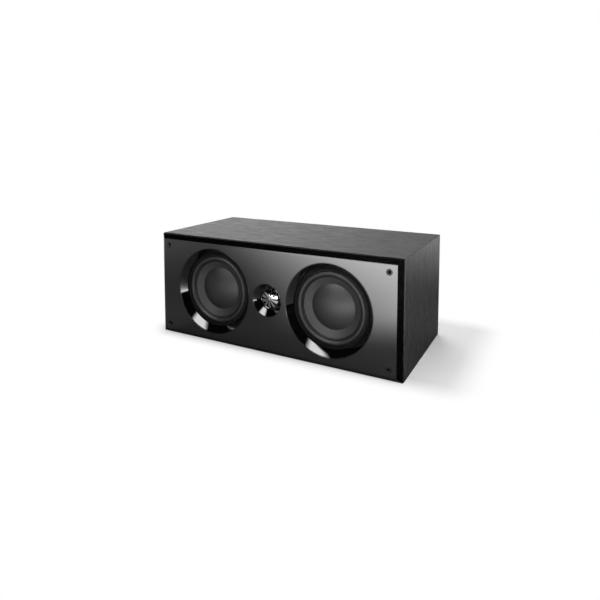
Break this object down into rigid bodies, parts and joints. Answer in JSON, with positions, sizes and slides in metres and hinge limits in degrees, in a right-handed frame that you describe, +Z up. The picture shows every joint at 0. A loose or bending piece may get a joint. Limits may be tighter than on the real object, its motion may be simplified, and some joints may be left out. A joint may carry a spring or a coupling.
{
  "type": "lcr speaker",
  "caption": "Horizontal front-channel loudspeaker: black-ash cabinet, bevelled gloss fascia, cone woofers beside a dome tweeter with a radial-vane waveguide, rear reflex port and binding posts.",
  "frame": {"origin": "centre of the cabinet's footprint, on the surface that it stands on", "axes": "+X to the right seen from the front, +Y towards the rear, +Z up; the drivers face -Y"},
  "size_m": [0.45, 0.222, 0.182],
  "materials": {
    "vinyl_black_ash": "black ash vinyl with fine open grain, satin",
    "fibreboard": "raw fibreboard",
    "fascia_gloss": "high gloss black",
    "trim_gloss": "high gloss black",
    "socket_black": "moulded black",
    "gasket_foam": "matt black",
    "surround_rubber": "satin black rubber",
    "cone_paper": "coated black paper",
    "cap_black": "satin black",
    "former_foil": "plain foil",
    "copper_wire": "enamelled copper",
    "spider_cloth": "resin-stiffened cloth",
    "basket_black": "black powder coat",
    "zinc_steel": "zinc plated",
    "ferrite": "sintered dark grey",
    "screw_black": "black oxide",
    "terminal_strip": "brown laminate",
    "chrome_bright": "bright plated",
    "dome_metal": "bright foil",
    "tweeter_rubber": "matt black",
    "port_black": "fine textured black",
    "cup_black": "fine textured black",
    "brass_bright": "bright gold plated",
    "collar_black": "moulded black",
    "cap_red_plastic": "clear red",
    "cap_black_plastic": "black",
    "board_green": "solder-masked laminate",
    "spacer_white": "natural nylon",
    "screw_zinc": "zinc plated",
    "capacitor_film": "amber film",
    "resistor_ceramic": "unglazed white",
    "wadding_white": "loose polyester",
    "lead_black": "smooth jacket"
  },
  "bodies": {
    "cabinet": {"cabinet_wrap": "vinyl_black_ash", "rear_panel": "vinyl_black_ash", "baffle_board": "fibreboard", "brace_left": "fibreboard", "brace_right": "fibreboard", "front_fascia": "fascia_gloss", "trim_ring_left": "trim_gloss", "trim_ring_right": "trim_gloss", "tweeter_flare": "trim_gloss", "grille_sockets": "socket_black", "gasket_left": "gasket_foam", "gasket_right": "gasket_foam", "surround_left": "surround_rubber", "surround_right": "surround_rubber", "inductors": "copper_wire", "spider_left": "spider_cloth", "spider_right": "spider_cloth", "basket_left": "basket_black", "basket_right": "basket_black", "top_plate_left": "zinc_steel", "top_plate_right": "zinc_steel", "yoke_left": "zinc_steel", "yoke_right": "zinc_steel", "tweeter_top_plate": "zinc_steel", "tweeter_yoke": "zinc_steel", "magnet_left": "ferrite", "magnet_right": "ferrite", "tweeter_magnet": "ferrite", "woofer_screws": "screw_black", "tweeter_screws": "screw_black", "cup_screws": "screw_black", "woofer_terminals": "terminal_strip", "tweeter_terminals": "terminal_strip", "tweeter_waveguide": "chrome_bright", "tweeter_surround": "tweeter_rubber", "port_tube": "port_black", "terminal_cup": "cup_black", "binding_studs": "brass_bright", "post_nuts": "brass_bright", "post_collars": "collar_black", "crossover_board": "board_green", "board_spacers": "spacer_white", "board_screws": "screw_zinc", "capacitors": "capacitor_film", "resistors": "resistor_ceramic", "wadding_left": "wadding_white", "wadding_right": "wadding_white", "internal_leads": "lead_black"},
    "left_diaphragm": {"cone_left": "cone_paper", "dust_cap_left": "cap_black", "coil_former_left": "former_foil", "coil_winding_left": "copper_wire"},
    "right_diaphragm": {"cone_right": "cone_paper", "dust_cap_right": "cap_black", "coil_former_right": "former_foil", "coil_winding_right": "copper_wire"},
    "tweeter_diaphragm": {"tweeter_dome": "dome_metal", "tweeter_coil": "copper_wire"},
    "red_cap": {"post_cap_red": "cap_red_plastic"},
    "black_cap": {"post_cap_black": "cap_black_plastic"}
  },
  "joints": [
    {"name": "left_woofer_travel", "type": "slide", "parent": "cabinet", "child": "left_diaphragm", "axis": [0, -1, 0], "range_m": [-0.004, 0.004], "stiffness_N_per_m": 1000, "deforming": ["surround_left", "spider_left"]},
    {"name": "right_woofer_travel", "type": "slide", "parent": "cabinet", "child": "right_diaphragm", "axis": [0, -1, 0], "range_m": [-0.004, 0.004], "stiffness_N_per_m": 1000, "deforming": ["surround_right", "spider_right"]},
    {"name": "tweeter_travel", "type": "slide", "parent": "cabinet", "child": "tweeter_diaphragm", "axis": [0, -1, 0], "range_m": [-0.0003, 0.0003], "stiffness_N_per_m": 60, "deforming": ["tweeter_surround"]},
    {"name": "red_cap_turn", "type": "hinge", "parent": "cabinet", "child": "red_cap", "pos_m": [-0.0948, 0.1003, 0.091], "axis": [0, 1, 0], "range_deg": [0, 1080]},
    {"name": "black_cap_turn", "type": "hinge", "parent": "cabinet", "child": "black_cap", "pos_m": [-0.1208, 0.1003, 0.091], "axis": [0, 1, 0], "range_deg": [0, 1080]}
  ]
}
